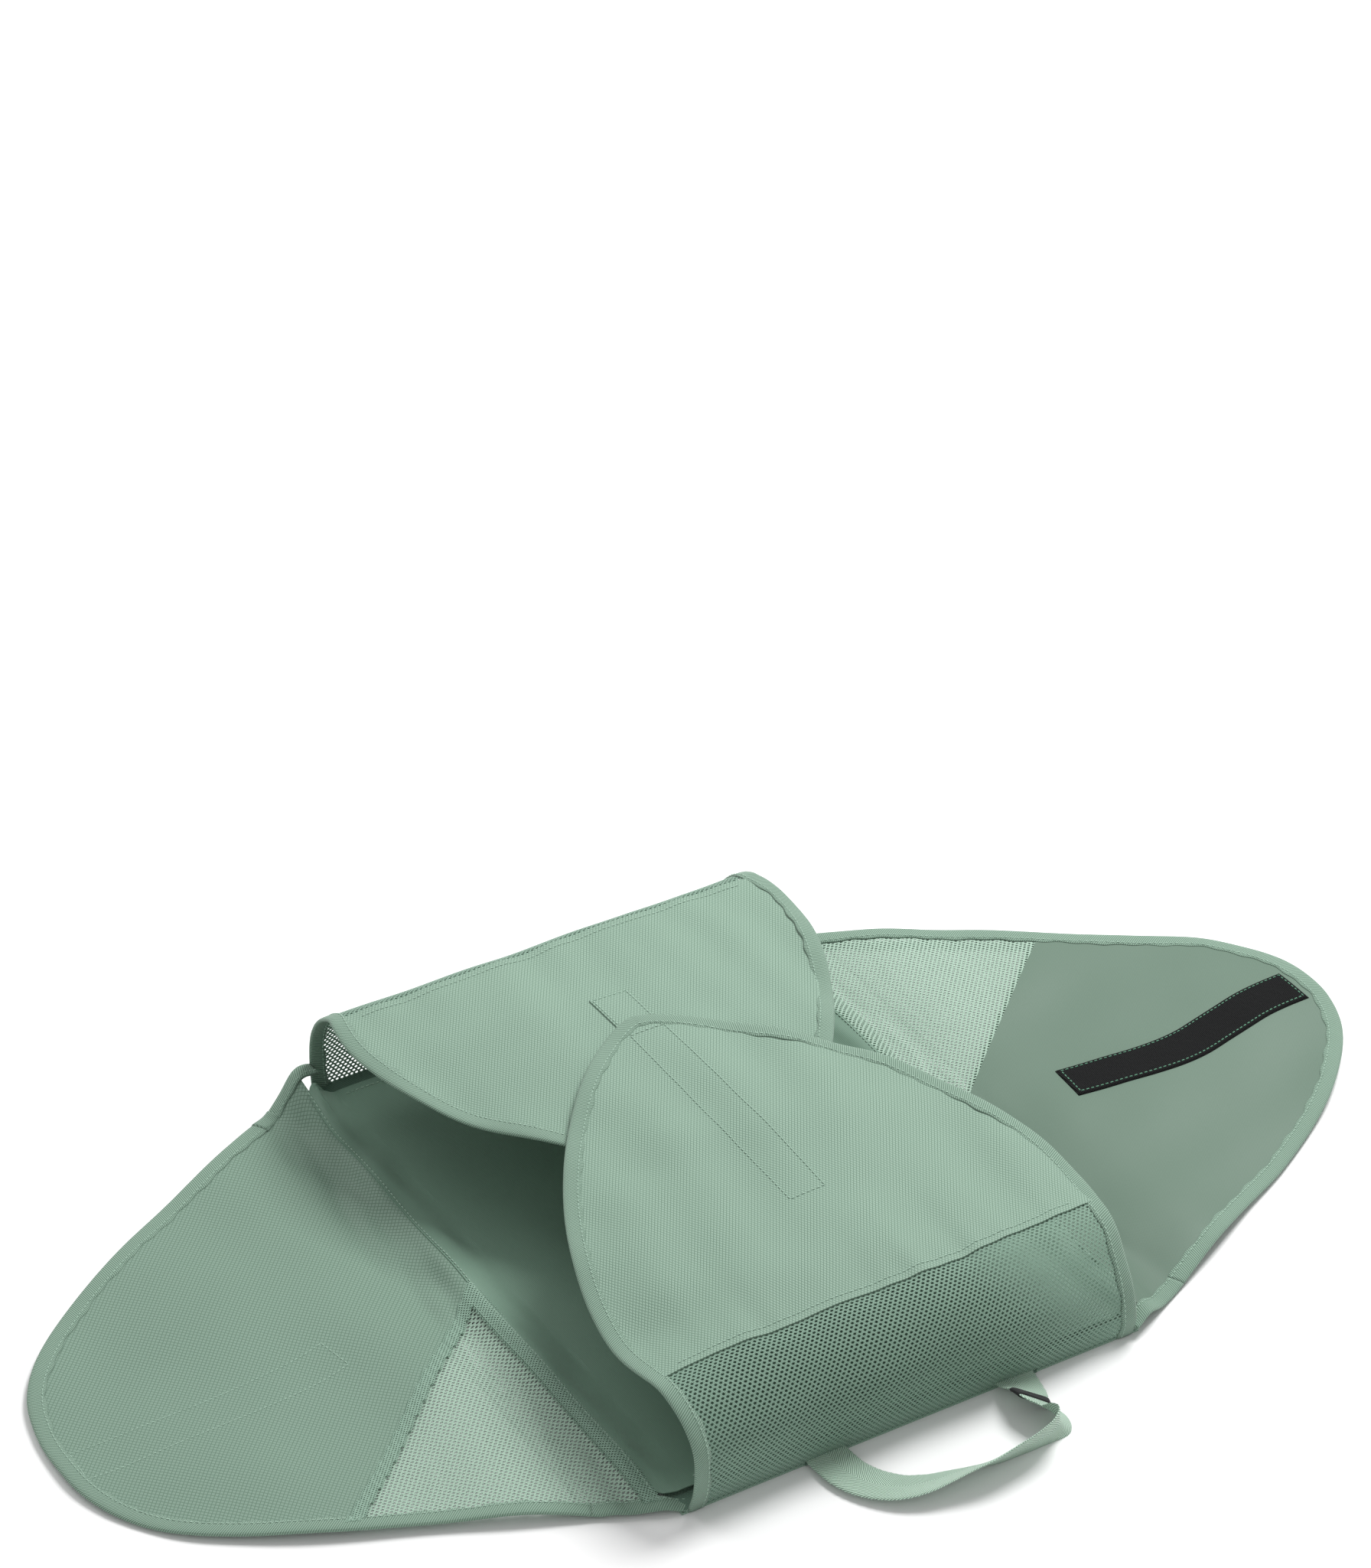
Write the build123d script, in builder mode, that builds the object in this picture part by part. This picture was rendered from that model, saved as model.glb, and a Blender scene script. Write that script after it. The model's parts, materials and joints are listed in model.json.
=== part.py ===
from build123d import *
import os

# Garment folder, lying open: base, two end walls with a flap each, two side wings and a carry handle.
# Origin at the middle of the base's underside, +X right, +Y towards the back flap, +Z up. Millimetres.

# Base
base_width = 305.0
base_length = 450.0
cloth = 1.2  # outer cloth of the base
lining_top = 4.1
lining_half_length = 212.0
board_width = 290.0
board_length = 410.0
board_thickness = 1.5
board_play = 0.1

# Side folds: the wings turn about lines just outside the base, above their own thickness
side_fold_x = base_width / 2 + 2.5
fold_gap = 0.3

# Wings, each a parabola on its fold line
wing_depth = 288.5
wing_half_length = base_length / 2
left_second_fold = 88.0
right_second_fold = 94.0
wing_cloth_low = 1.5
wing_cloth_high = 2.5
tape_width = 11.0  # binding tape, folded over every free edge
cloth_inset = 1.5  # the cloth's raw edge lies this far inside the fold of the tape
wing_tape_low = 0.5
wing_tape_high = 3.5
seam_tape_width = 8.0
seam_tape_high = 4.5

# Hook and loop strips
strip_width = 30.0
strip_start = 99.0
strip_end = 272.0
strip_thickness = 1.5

# End walls
wall_thickness = 1.2
wall_half_width = 148.0
wall_tape_inner = 142.5
wall_tape_outer = 153.0
wall_tape_thickness = 3.2
seam_y = 224.6  # outer face of the seam at the foot of each wall
seam_depth = 11.8
seam_top = 3.6

# Flaps
flap_fold_y = 194.0
flap_cloth = 1.0
flap_tape_thickness = 2.4
flap_foot = 76.2  # height of each flap at its fold
front_flap_length = 286.5
back_flap_length = 250.0
hem_depth = 5.5

# Handle
webbing_width = 25.0
webbing_low = 1.2
webbing_high = 2.6
anchor_x = (-62.0, 70.0)
anchor_outer_y = -226.2
anchor_inner_y = -208.0
handle_root_y = -227.0
handle_reach_y = -271.0

os.makedirs("parts", exist_ok=True)


def save(piece, name):
    """Labels a finished piece and writes it under its own name."""
    piece.label = name
    export_step(piece, f"parts/{name}.step")


# ---- Base ----
with BuildPart() as base_panel:
    with BuildSketch():
        Rectangle(2 * (side_fold_x - fold_gap), 2 * seam_y)
    extrude(amount=cloth)
save(base_panel.part, "base_panel")

# Board in its pocket, a little clear of the cloth all round
board_low = cloth + board_play
board_high = board_low + board_thickness
with BuildPart() as folding_board:
    with BuildSketch(Plane.XY.offset(board_low)):
        RectangleRounded(board_width, board_length, 12)
    extrude(amount=board_thickness)
save(folding_board.part, "folding_board")

# Lining sewn down all round, with rounded hemmed corners and the board's pocket beneath it
with BuildPart() as base_lining:
    with BuildSketch(Plane.XY.offset(cloth)):
        RectangleRounded(2 * wall_tape_outer, 2 * lining_half_length, 8)
    extrude(amount=lining_top - cloth)
    with BuildSketch(Plane.XY.offset(cloth)):
        RectangleRounded(board_width + 2, board_length + 2, 13)
    extrude(amount=board_high + board_play - cloth, mode=Mode.SUBTRACT)
save(base_lining.part, "base_lining")

# Webbing ends of the handle, sewn into the front seam
with BuildPart() as handle_anchors:
    with BuildSketch(Plane.XY.offset(webbing_low)):
        for x in anchor_x:
            with Locations((x, (anchor_outer_y + anchor_inner_y) / 2)):
                Rectangle(webbing_width, anchor_inner_y - anchor_outer_y)
    extrude(amount=webbing_high - webbing_low)
    with BuildSketch(Plane.XY.offset(webbing_low)):
        Rectangle(2 * side_fold_x, 2 * lining_half_length)
    extrude(amount=webbing_high - webbing_low, mode=Mode.SUBTRACT)
save(handle_anchors.part, "handle_anchors")

# Taped seam between the base and each end wall
for end, name in ((-1, "front_seam_tape"), (1, "back_seam_tape")):
    with BuildPart() as seam_tape:
        with BuildSketch(Plane.XY.offset(cloth)):
            with Locations((0, end * (seam_y - seam_depth / 2))):
                Rectangle(2 * wall_tape_outer, seam_depth)
        extrude(amount=seam_top - cloth)
        add(handle_anchors.part, mode=Mode.SUBTRACT)
    save(seam_tape.part, name)


# ---- End walls ----
# Middle lines of the walls from foot to fold, as (y, z): packed full, they belly outwards
wall_foot = seam_top + 0.3
wall_lines = {
    "front": [(-224.0, wall_foot), (-229.5, 25), (-227.5, 46), (-215.5, 62), (-flap_fold_y - 0.5, 75.4)],
    "back": [(224.0, wall_foot), (226.5, 26), (223.0, 48), (213.0, 64), (flap_fold_y + 0.5, 75.4)],
}
for end, line in wall_lines.items():
    with BuildPart() as wall_mesh:
        with BuildSketch(Plane.YZ):
            with BuildLine() as run:
                Spline(*line)
            trace(run.line, line_width=wall_thickness)
        extrude(amount=wall_half_width, both=True)
    with BuildPart() as wall_binding:
        with BuildSketch(Plane.YZ.offset(wall_tape_inner)):
            with BuildLine() as run:
                Spline(*line)
            trace(run.line, line_width=wall_tape_thickness)
        extrude(amount=wall_tape_outer - wall_tape_inner)
        mirror(about=Plane.YZ)
        with BuildSketch(Plane.XY):
            Rectangle(2 * side_fold_x, 4 * seam_y)
        extrude(amount=seam_top, mode=Mode.SUBTRACT)
        with BuildSketch(Plane.XY.offset(seam_top)):
            Rectangle(2 * side_fold_x, 2 * (flap_fold_y + fold_gap))
        extrude(amount=2 * flap_foot, mode=Mode.SUBTRACT)
        add(wall_mesh.part, mode=Mode.SUBTRACT)
    save(wall_mesh.part, f"{end}_wall_mesh")
    save(wall_binding.part, f"{end}_wall_binding")


# ---- Flaps ----
def tongue(half_width, bulge, bulge_at, shoulder, length, end, inset):
    """Plan of a flap, moved inwards by inset: a Bezier curve down each side and round at the tip."""
    fold_y = end * flap_fold_y
    behind_y = fold_y + end * 30
    edge_x = half_width - inset
    tip_y = fold_y - end * (length - inset)
    with BuildSketch() as plan:
        with BuildLine():
            Polyline((-edge_x, fold_y), (-edge_x, behind_y), (edge_x, behind_y), (edge_x, fold_y))
            for side in (-1, 1):
                Bezier(
                    (side * edge_x, fold_y),
                    (side * (bulge - inset), fold_y - end * bulge_at),
                    (side * (shoulder - 1.1 * inset), tip_y),
                    (0, tip_y),
                )
        make_face()
    return plan.sketch


# Each flap's middle line from fold to tip, as (y, z), and its plan
flaps = {
    "front": {
        "end": -1,
        "line": [(-193.7, flap_foot), (-140, 80.5), (-70, 85.2), (-5, 87.0), (45, 87.2), (96, 87.0)],
        "plan": (150.5, 174, 139, 37, front_flap_length, -1),
        "strip": (-106, 76),
        "strip_under": True,
    },
    "back": {
        "end": 1,
        "line": [(193.7, flap_foot), (150, 78.6), (100, 79.1), (20, 79.0), (-60, 79.0)],
        "plan": (149, 178, 93, 58, back_flap_length, 1),
        "strip": (-30, 125),
        "strip_under": False,
    },
}
plan_low = 60.0
plan_height = 60.0
for name, flap in flaps.items():
    with BuildPart() as flap_panel:
        with BuildSketch(Plane.YZ):
            with BuildLine() as run:
                Spline(*flap["line"])
            trace(run.line, line_width=flap_cloth)
        extrude(amount=base_width / 2, both=True)
        with BuildSketch(Plane.XY.offset(plan_low)):
            add(tongue(*flap["plan"], cloth_inset))
        extrude(amount=plan_height, mode=Mode.INTERSECT)
    with BuildPart() as flap_binding:
        with BuildSketch(Plane.YZ):
            with BuildLine() as run:
                Spline(*flap["line"])
            trace(run.line, line_width=flap_tape_thickness)
        extrude(amount=base_width / 2, both=True)
        with BuildSketch(Plane.XY.offset(plan_low)):
            add(tongue(*flap["plan"], 0))
        extrude(amount=plan_height, mode=Mode.INTERSECT)
        with BuildSketch(Plane.XY.offset(plan_low)):
            add(tongue(*flap["plan"], tape_width))
        extrude(amount=plan_height, mode=Mode.SUBTRACT)
        add(flap_panel.part, mode=Mode.SUBTRACT)
    # Hook strip below the front flap, loop patch above the back flap
    side = -1 if flap["strip_under"] else 1
    shift = side * (flap_cloth + strip_thickness) / 2
    with BuildPart() as flap_strip:
        with BuildSketch(Plane.YZ):
            with BuildLine() as run:
                Spline(*[(y, z + shift) for y, z in flap["line"]])
            trace(run.line, line_width=strip_thickness)
        extrude(amount=strip_width / 2, both=True)
        with BuildSketch(Plane.XY.offset(plan_low)):
            with Locations((0, sum(flap["strip"]) / 2)):
                Rectangle(strip_width, flap["strip"][1] - flap["strip"][0])
        extrude(amount=plan_height, mode=Mode.INTERSECT)
        add(flap_panel.part, mode=Mode.SUBTRACT)
    # Turned-in edge of the cloth where it meets the mesh, along the fold
    hem_shift = -flap_cloth
    with BuildPart() as flap_hem:
        with BuildSketch(Plane.YZ):
            with BuildLine() as run:
                Spline(*[(y, z + hem_shift) for y, z in flap["line"]])
            trace(run.line, line_width=flap_cloth)
        extrude(amount=wall_tape_inner - 10, both=True)
        with BuildSketch(Plane.XY.offset(plan_low)):
            with Locations((0, flap["end"] * (flap_fold_y - fold_gap - hem_depth / 2))):
                Rectangle(base_width, hem_depth)
        extrude(amount=plan_height, mode=Mode.INTERSECT)
        add(flap_panel.part, mode=Mode.SUBTRACT)
    save(flap_panel.part, f"{name}_flap_panel")
    save(flap_binding.part, f"{name}_flap_binding")
    save(flap_strip.part, f"{name}_flap_strip")
    save(flap_hem.part, f"{name}_flap_hem")


# ---- Wings ----
# A wing is drawn on a plane with its origin on the side fold, X outwards and Z up. The left wing is the
# right one turned half round the origin.
outline_start = -20.0  # the outline starts behind the fold


def wing_plane(side, height):
    return Plane(origin=(side * side_fold_x, 0, height), x_dir=(side, 0, 0), z_dir=(0, 0, 1))


def wing_outline(inset):
    """Parabola x = depth (1 - (y / half)^2), moved inwards by inset, as a quadratic Bezier curve."""
    slope = 2 * wing_depth / wing_half_length
    depth = wing_depth - inset
    half = wing_half_length - inset * (1 + slope**2) ** 0.5 / slope
    start_half = half * (1 - outline_start / depth) ** 0.5
    with BuildSketch() as outline:
        with BuildLine():
            Line((outline_start, -start_half), (outline_start, start_half))
            Bezier(
                (outline_start, start_half),
                (2 * depth - outline_start, 0),
                (outline_start, -start_half),
            )
        make_face()
    return outline.sketch


def between(start, end):
    """Keeps what lies between two lines parallel to the side fold."""
    with Locations(((start + end) / 2, 0)):
        Rectangle(end - start, 2 * base_length, mode=Mode.INTERSECT)


def mesh_corner(seam_root, seam_end, mode):
    """The corner that the mesh fills, beyond the line through seam_root and seam_end."""
    slope = (seam_end[1] - seam_root[1]) / (seam_end[0] - seam_root[0])
    start = (-60, seam_root[1] - slope * (seam_root[0] + 60))
    finish = (400, seam_root[1] + slope * (400 - seam_root[0]))
    Polygon(start, finish, (400, 900), (-60, 900), align=None, mode=mode)


wings = {
    "left": {
        "side": -1,
        "second_fold": left_second_fold,
        "seam_root": (0, -10),
        "seam_end": (167, 143),
        "strip_y": 11.0,
        "strip_low": 0.0,
    },
    "right": {
        "side": 1,
        "second_fold": right_second_fold,
        "seam_root": (0, -28),
        "seam_end": (167, 133),
        "strip_y": -8.0,
        "strip_low": wing_cloth_high,
    },
}
for name, wing in wings.items():
    spans = {
        "side": (fold_gap, wing["second_fold"] - fold_gap),
        "top": (wing["second_fold"] + fold_gap, wing_depth + 10),
    }
    cloth_plane = wing_plane(wing["side"], wing_cloth_low)
    for part_name, span in spans.items():
        with BuildPart() as wing_panel:
            with BuildSketch(cloth_plane):
                add(wing_outline(cloth_inset))
                between(*span)
                mesh_corner(wing["seam_root"], wing["seam_end"], Mode.SUBTRACT)
            extrude(amount=wing_cloth_high - wing_cloth_low)
        with BuildPart() as wing_mesh:
            with BuildSketch(cloth_plane):
                add(wing_outline(cloth_inset))
                between(*span)
                mesh_corner(wing["seam_root"], wing["seam_end"], Mode.INTERSECT)
            extrude(amount=wing_cloth_high - wing_cloth_low)
        with BuildPart() as wing_binding:
            with BuildSketch(wing_plane(wing["side"], wing_tape_low)):
                add(wing_outline(0))
                between(*span)
            extrude(amount=wing_tape_high - wing_tape_low)
            with BuildSketch(wing_plane(wing["side"], wing_tape_low)):
                add(wing_outline(tape_width))
            extrude(amount=wing_tape_high - wing_tape_low, mode=Mode.SUBTRACT)
            add(wing_panel.part, mode=Mode.SUBTRACT)
            add(wing_mesh.part, mode=Mode.SUBTRACT)
        # Tape along the line where the cloth meets the mesh, inside the binding
        run_x = wing["seam_end"][0] - wing["seam_root"][0]
        run_y = wing["seam_end"][1] - wing["seam_root"][1]
        before = (wing["seam_root"][0] - run_x, wing["seam_root"][1] - run_y)
        after = (wing["seam_end"][0] + run_x, wing["seam_end"][1] + run_y)
        with BuildPart() as mesh_seam:
            with BuildSketch(wing_plane(wing["side"], wing_cloth_high)):
                with BuildLine() as seam_line:
                    Line(before, after)
                trace(seam_line.line, line_width=seam_tape_width)
                between(*span)
            extrude(amount=seam_tape_high - wing_cloth_high)
            with BuildSketch(wing_plane(wing["side"], wing_cloth_high)):
                add(wing_outline(tape_width + fold_gap))
            extrude(amount=seam_tape_high - wing_cloth_high, mode=Mode.INTERSECT)
        save(wing_panel.part, f"{name}_{part_name}_panel")
        save(wing_mesh.part, f"{name}_{part_name}_mesh")
        save(wing_binding.part, f"{name}_{part_name}_binding")
        save(mesh_seam.part, f"{name}_{part_name}_seam")
    # Hook strip on the right wing's upper face, loop strip on the left wing's underside
    with BuildPart() as wing_strip:
        with BuildSketch(wing_plane(wing["side"], wing["strip_low"])):
            with Locations(((strip_start + strip_end) / 2, wing["strip_y"])):
                Rectangle(strip_end - strip_start, strip_width)
        extrude(amount=strip_thickness)
    save(wing_strip.part, f"{name}_strip")


# ---- Handle ----
# Webbing loop lying on the ground in front of the wall, with a sleeve near its right-hand root
handle_line = [
    (anchor_x[0], handle_root_y),
    (anchor_x[0] + 4, handle_reach_y),
    (anchor_x[1] - 4, handle_reach_y),
    (anchor_x[1], handle_root_y),
]
handle_radius = 19.0
tag_y = -243.0
tag_length = 10.0
tag_wall = 0.7
with BuildPart() as handle_webbing:
    with BuildSketch(Plane.XY.offset(webbing_low)):
        with BuildLine() as run:
            FilletPolyline(*handle_line, radius=handle_radius)
        trace(run.line, line_width=webbing_width)
        with Locations((0, handle_root_y + 10)):
            Rectangle(base_width, 20, mode=Mode.SUBTRACT)
    extrude(amount=webbing_high - webbing_low)
with BuildPart() as handle_tag:
    with BuildSketch(Plane.XY.offset(webbing_low - tag_wall)):
        with Locations((anchor_x[1] - 1.5, tag_y)):
            Rectangle(webbing_width + 3, tag_length, rotation=5)
    extrude(amount=webbing_high - webbing_low + 2 * tag_wall)
    add(handle_webbing.part, mode=Mode.SUBTRACT)
save(handle_webbing.part, "handle_webbing")
save(handle_tag.part, "handle_tag")
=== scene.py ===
import json
import math
import bpy
import numpy as np
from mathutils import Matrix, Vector


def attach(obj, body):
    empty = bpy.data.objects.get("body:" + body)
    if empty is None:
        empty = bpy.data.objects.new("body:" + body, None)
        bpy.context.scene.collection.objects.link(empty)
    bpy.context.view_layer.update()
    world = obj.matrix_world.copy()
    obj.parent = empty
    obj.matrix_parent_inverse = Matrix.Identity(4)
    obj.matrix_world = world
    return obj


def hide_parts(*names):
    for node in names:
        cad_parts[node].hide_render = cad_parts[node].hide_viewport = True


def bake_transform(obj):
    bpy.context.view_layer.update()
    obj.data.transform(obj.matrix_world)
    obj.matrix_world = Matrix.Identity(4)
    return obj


# Garment folder lying open. Metres, origin under the middle of the base, X right, Y back, Z up.
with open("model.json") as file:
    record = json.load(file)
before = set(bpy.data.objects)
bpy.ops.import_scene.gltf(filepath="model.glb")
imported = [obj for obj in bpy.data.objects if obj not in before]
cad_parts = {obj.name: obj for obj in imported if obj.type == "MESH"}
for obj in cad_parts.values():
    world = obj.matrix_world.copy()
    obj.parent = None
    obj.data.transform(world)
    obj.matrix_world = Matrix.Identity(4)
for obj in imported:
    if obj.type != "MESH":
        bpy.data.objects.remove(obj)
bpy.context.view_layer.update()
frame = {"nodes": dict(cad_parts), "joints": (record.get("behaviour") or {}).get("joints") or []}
joints = {j["name"]: j for j in frame["joints"]}
sideFoldX = joints["right_wing_lift"]["pos_m"][0]
flapFoldY = joints["back_flap_open"]["pos_m"][1]
print("frame loaded:", len(frame["nodes"]), "nodes")

# Camera and light; the floor is made at the end
view = {
    "place": (-1.2938, -2.1191, 1.9722),
    "target": (0.2236, 0.3996, 0.0),
    "lens": 121.2,
    "sensor": 36.0,
}
camera = bpy.data.objects.new("camera", bpy.data.cameras.new("camera"))
bpy.context.scene.collection.objects.link(camera)
camera.data.lens = view["lens"]
camera.data.sensor_width = view["sensor"]
camera.location = view["place"]
camera.rotation_mode = "QUATERNION"
camera.rotation_quaternion = (Vector(view["target"]) - camera.location).to_track_quat("-Z", "Y")
bpy.context.scene.camera = camera
bpy.context.scene.view_settings.view_transform = "Standard"

# name: (place, target, size, watts, colour)
softBoxes = {
    "key": ((1.3, 0.5, 2.1), (0.0, 0.0, 0.0), 1.1, 62.0, (1.0, 1.0, 1.0)),
    "back": ((-0.6, 2.0, 1.6), (0.0, 0.0, 0.0), 1.5, 14.0, (1.0, 1.0, 1.0)),
    "fill": ((-1.4, -1.8, 1.7), (0.0, 0.0, 0.0), 1.8, 5.0, (1.0, 1.0, 1.0)),
}
for name, (place, target, size, watts, colour) in softBoxes.items():
    light = bpy.data.lights.new(name, "AREA")
    light.size = size
    light.energy = watts
    light.color = colour
    lamp = bpy.data.objects.new(name, light)
    bpy.context.scene.collection.objects.link(lamp)
    lamp.location = place
    lamp.rotation_mode = "QUATERNION"
    lamp.rotation_quaternion = (Vector(target) - Vector(place)).to_track_quat("-Z", "Y")
world = bpy.data.worlds.new("studio")
bpy.context.scene.world = world
world.use_nodes = True
skyLight = 0.42
backdrop = world.node_tree.nodes["Background"]
backdrop.inputs["Color"].default_value = (1.0, 1.0, 1.0, 1.0)
backdrop.inputs["Strength"].default_value = skyLight


# Shader helpers
def wire(tree, target, value):
    # a number, a colour or another node's output goes into a socket
    if isinstance(value, bpy.types.NodeSocket):
        tree.links.new(value, target)
    else:
        target.default_value = value


def calc(tree, operation, *values):
    node = tree.nodes.new("ShaderNodeMath")
    node.operation = operation
    for socket, value in zip(node.inputs, values):
        wire(tree, socket, value)
    return node.outputs[0]


def noise(tree, vector, scale, detail=3.0, roughness=0.5):
    node = tree.nodes.new("ShaderNodeTexNoise")
    wire(tree, node.inputs["Vector"], vector)
    node.inputs["Scale"].default_value = scale
    node.inputs["Detail"].default_value = detail
    node.inputs["Roughness"].default_value = roughness
    return node.outputs["Fac"]


def span(tree, value, low, high, toLow=0.0, toHigh=1.0):
    node = tree.nodes.new("ShaderNodeMapRange")
    for key, v in (
        ("Value", value), ("From Min", low), ("From Max", high), ("To Min", toLow), ("To Max", toHigh),
    ):
        wire(tree, node.inputs[key], v)
    return node.outputs["Result"]


def blendColour(tree, factor, first, second, mode="MIX"):
    node = tree.nodes.new("ShaderNodeMix")
    node.data_type = "RGBA"
    node.blend_type = mode
    wire(tree, node.inputs[0], factor)
    wire(tree, node.inputs[6], first)
    wire(tree, node.inputs[7], second)
    return node.outputs[2]


def newGroup(name, inputs, outputs):
    tree = bpy.data.node_groups.new(name, "ShaderNodeTree")
    for label, kind, default in inputs:
        socket = tree.interface.new_socket(label, in_out="INPUT", socket_type=kind)
        if default is not None:
            socket.default_value = default
    for label, kind in outputs:
        tree.interface.new_socket(label, in_out="OUTPUT", socket_type=kind)
    return tree, tree.nodes.new("NodeGroupInput").outputs, tree.nodes.new("NodeGroupOutput").inputs


def useGroup(tree, group, **values):
    node = tree.nodes.new("ShaderNodeGroup")
    node.node_tree = group
    for key, value in values.items():
        wire(tree, node.inputs[key], value)
    return node.outputs


# Dobby: rows of small lozenges, |sin a| |sin b| along the two diagonals, a and b in turns of one pitch
dobby, given, out = newGroup(
    "dobbyWeave",
    [
        ("Vector", "NodeSocketVector", None), ("Pitch", "NodeSocketFloat", 0.0021),
        ("Lean", "NodeSocketFloat", 0.6),
    ],
    [("Height", "NodeSocketFloat"), ("Mask", "NodeSocketFloat")],
)
split = dobby.nodes.new("ShaderNodeSeparateXYZ")
wire(dobby, split.inputs[0], given["Vector"])
across = calc(dobby, "DIVIDE", split.outputs[0], given["Pitch"])
along = calc(dobby, "DIVIDE", calc(dobby, "MULTIPLY", split.outputs[1], given["Lean"]), given["Pitch"])
first = calc(
    dobby, "ABSOLUTE",
    calc(dobby, "SINE", calc(dobby, "MULTIPLY", calc(dobby, "ADD", across, along), math.pi)),
)
second = calc(
    dobby, "ABSOLUTE",
    calc(dobby, "SINE", calc(dobby, "MULTIPLY", calc(dobby, "SUBTRACT", across, along), math.pi)),
)
lozenge = calc(dobby, "MINIMUM", first, second)
fine = calc(dobby, "ABSOLUTE", calc(dobby, "SINE", calc(dobby, "MULTIPLY", across, 3 * math.pi)))
wire(dobby, out["Mask"], span(dobby, lozenge, 0.05, 0.5))
wire(dobby, out["Height"], calc(dobby, "ADD", lozenge, calc(dobby, "MULTIPLY", fine, 0.15)))

# Ribs: a slanted saw of threads, sin of (x lean + y) in turns of one pitch
ribs, given, out = newGroup(
    "threadRibs",
    [
        ("Vector", "NodeSocketVector", None), ("Pitch", "NodeSocketFloat", 0.0011),
        ("Lean", "NodeSocketFloat", 1.0),
    ],
    [("Height", "NodeSocketFloat"), ("Mask", "NodeSocketFloat")],
)
split = ribs.nodes.new("ShaderNodeSeparateXYZ")
wire(ribs, split.inputs[0], given["Vector"])
slanted = calc(ribs, "ADD", split.outputs[0], calc(ribs, "MULTIPLY", split.outputs[1], given["Lean"]))
turns = calc(ribs, "MULTIPLY", calc(ribs, "DIVIDE", slanted, given["Pitch"]), 2 * math.pi)
weft = calc(
    ribs, "MULTIPLY", calc(ribs, "DIVIDE", split.outputs[1], calc(ribs, "MULTIPLY", given["Pitch"], 0.7)),
    2 * math.pi,
)
wave = calc(ribs, "SINE", turns)
wire(ribs, out["Height"], calc(ribs, "ADD", wave, calc(ribs, "MULTIPLY", calc(ribs, "SINE", weft), 0.35)))
wire(ribs, out["Mask"], span(ribs, wave, -1.0, 1.0))

# Wear: broad cloudy shade and fine thread speckle, both about 1
shade, given, out = newGroup(
    "clothShade",
    [
        ("Vector", "NodeSocketVector", None), ("Cloud", "NodeSocketFloat", 0.08),
        ("Speckle", "NodeSocketFloat", 0.08),
    ],
    [("Shade", "NodeSocketFloat"), ("Fibre", "NodeSocketFloat")],
)
cloud = calc(shade, "SUBTRACT", noise(shade, given["Vector"], 9.0, 3.0), 0.5)
speck = noise(shade, given["Vector"], 1400.0, 2.0, 0.7)
total = calc(shade, "ADD", 1.0, calc(shade, "MULTIPLY", cloud, given["Cloud"]))
fleck = calc(shade, "MULTIPLY", calc(shade, "SUBTRACT", speck, 0.5), given["Speckle"])
wire(shade, out["Shade"], calc(shade, "ADD", total, fleck))
wire(shade, out["Fibre"], speck)


def clothMaterial(name, light, shadedGap, group, settings, depth, rough, sheen, uv=True, cloud=0.1, speckle=0.1):
    # Cloth whose threads are painted light on top and painted dark between, as light and shade that follow
    # the weave's bump, with a random cloudy tone and a fibre fuzz.
    material = bpy.data.materials.new(name)
    material.use_nodes = True
    tree = material.node_tree
    shader = tree.nodes["Principled BSDF"]
    if uv:
        node = tree.nodes.new("ShaderNodeUVMap")
        node.uv_map = "cloth"
        place = node.outputs[0]
    else:
        place = tree.nodes.new("ShaderNodeTexCoord").outputs["Object"]
    weave = useGroup(tree, group, Vector=place, **settings)
    worn = useGroup(
        tree, shade, Vector=tree.nodes.new("ShaderNodeTexCoord").outputs["Object"], Cloud=cloud,
        Speckle=speckle,
    )
    # painted shade: the darker colour goes between the threads, where the weave's bump is low; the tops get
    # the lighter colour
    colour = blendColour(tree, weave["Mask"], (*shadedGap, 1.0), (*light, 1.0))
    grey = tree.nodes.new("ShaderNodeCombineColor")
    for socket in grey.inputs[:3]:
        wire(tree, socket, worn["Shade"])
    wire(tree, shader.inputs["Base Color"], blendColour(tree, 1.0, colour, grey.outputs[0], "MULTIPLY"))
    height = calc(tree, "ADD", weave["Height"], calc(tree, "MULTIPLY", worn["Fibre"], 0.5))
    bump = tree.nodes.new("ShaderNodeBump")
    bump.inputs["Strength"].default_value = 0.6
    bump.inputs["Distance"].default_value = depth
    wire(tree, bump.inputs["Height"], height)
    wire(tree, shader.inputs["Normal"], bump.outputs[0])
    wire(tree, shader.inputs["Roughness"], span(tree, weave["Mask"], 0.0, 1.0, rough + 0.08, rough - 0.06))
    shader.inputs["Sheen Weight"].default_value = sheen
    shader.inputs["Sheen Roughness"].default_value = 0.45
    shader.inputs["Specular IOR Level"].default_value = 0.18
    return material


def tint(red, green, blue):
    # a colour as seen, 0 to 255, to the light that it reflects
    seen = np.array([red, green, blue]) / 255.0
    light = np.where(seen <= 0.04045, seen / 12.92, ((seen + 0.055) / 1.055) ** 2.4)
    return tuple(float(v) for v in light)


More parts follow.
